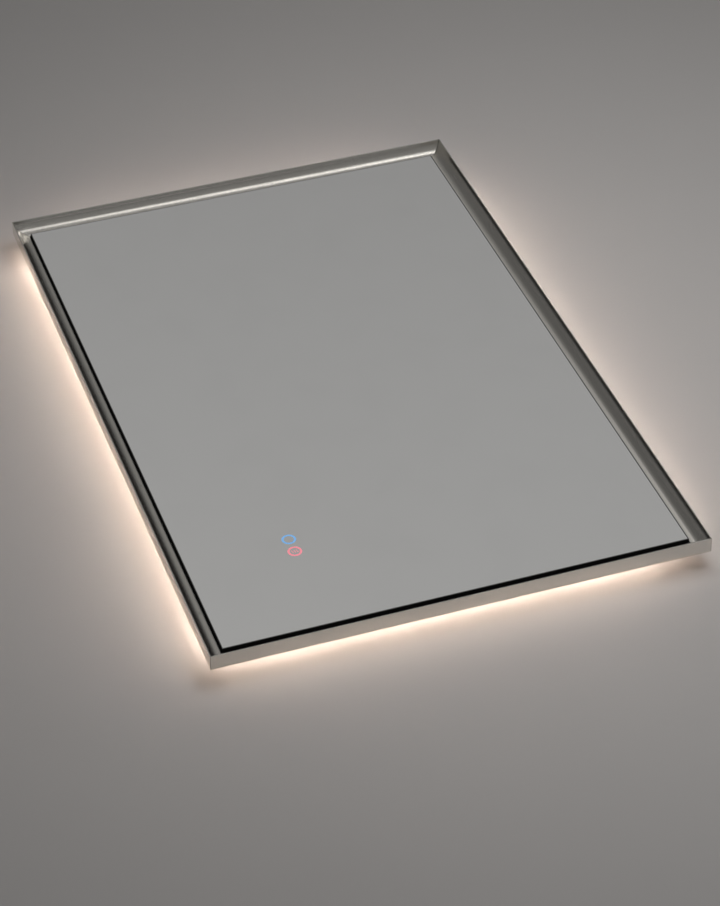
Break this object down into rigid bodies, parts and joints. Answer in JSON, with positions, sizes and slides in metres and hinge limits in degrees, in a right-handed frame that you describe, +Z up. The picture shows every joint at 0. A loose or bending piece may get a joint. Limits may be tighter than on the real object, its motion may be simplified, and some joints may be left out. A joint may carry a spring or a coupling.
{
  "type": "lighted bathroom mirror",
  "caption": "Wall-hung bathroom mirror in a slim metal cove frame, back-lit by light strips behind the frame, with lit touch switches for the light and the demister.",
  "frame": {"origin": "middle of the two wall screws, on the wall's face", "axes": "+Z up along the mirror's long side, +Y into the wall, so the mirror faces -Y; +X to the viewer's right"},
  "size_m": [0.6, 0.04, 0.9],
  "materials": {
    "frame_metal": "satin brushed",
    "mirror_glass": "polished silvered glass, opaque",
    "gasket_rubber": "matt black",
    "light_mark": "lit, translucent",
    "demister_mark": "lit, translucent",
    "film": "matt grey film",
    "foam_tape": "matt white foam",
    "heater_film": "amber film",
    "contact": "black block",
    "key_metal": "mill finish",
    "screw_steel": "zinc plated",
    "case_plastic": "matt black",
    "touch_board": "green solder mask",
    "tray_paint": "white powder coat",
    "channel_metal": "anodised",
    "light_board": "white board with light chips",
    "diffuser": "opal, lit",
    "driver_case": "white",
    "driver_board": "green solder mask",
    "terminal_plastic": "light grey",
    "terminal_block": "natural nylon",
    "splitter_plastic": "matt black",
    "lead_sheath": "white sheath",
    "earth_sheath": "green sheath",
    "clip_plastic": "natural nylon",
    "rail_steel": "galvanised",
    "bumper_rubber": "matt black"
  },
  "bodies": {
    "wall_rail": {"wall_rail": "rail_steel"},
    "mirror": {"frame_left": "frame_metal", "frame_top": "frame_metal", "frame_right": "frame_metal", "frame_bottom": "frame_metal", "corner_keys": "key_metal", "corner_key_screws": "screw_steel", "mirror_glass": "mirror_glass", "light_symbol": "light_mark", "demister_symbol": "demister_mark", "backing_film": "film", "edge_gasket": "gasket_rubber", "bond_tape": "foam_tape", "demister_pad": "heater_film", "demister_contact": "contact", "touch_case_light": "case_plastic", "touch_board_light": "touch_board", "touch_case_demister": "case_plastic", "touch_board_demister": "touch_board", "chassis_tray": "tray_paint", "tray_screws": "screw_steel", "driver_case": "driver_case", "driver_board": "driver_board", "driver_cover": "driver_case", "driver_screws": "screw_steel", "terminal_box": "terminal_plastic", "terminal_lid": "terminal_plastic", "terminal_lid_screws": "screw_steel", "terminal_block": "terminal_block", "lead_splitter": "splitter_plastic", "cable_grommet": "gasket_rubber", "earth_stud": "screw_steel", "lead_supply": "lead_sheath", "lead_driver_out": "lead_sheath", "lead_led_right": "lead_sheath", "lead_led_top": "lead_sheath", "lead_led_left": "lead_sheath", "lead_led_bottom": "lead_sheath", "lead_touch_light": "lead_sheath", "lead_touch_demister": "lead_sheath", "lead_demister": "lead_sheath", "lead_earth": "earth_sheath", "lead_clips": "clip_plastic", "hook_rail": "rail_steel", "hook_rivets": "screw_steel", "bumpers": "bumper_rubber", "led_channel_left": "channel_metal", "led_strip_left": "light_board", "led_diffuser_left": "diffuser", "led_channel_top": "channel_metal", "led_strip_top": "light_board", "led_diffuser_top": "diffuser", "led_channel_right": "channel_metal", "led_strip_right": "light_board", "led_diffuser_right": "diffuser", "led_channel_bottom": "channel_metal", "led_strip_bottom": "light_board", "led_diffuser_bottom": "diffuser"}
  },
  "joints": [
    {"name": "lift_off", "type": "slide", "parent": "wall_rail", "child": "mirror", "axis": [0, 0, 1], "range_m": [0, 0.014]}
  ]
}
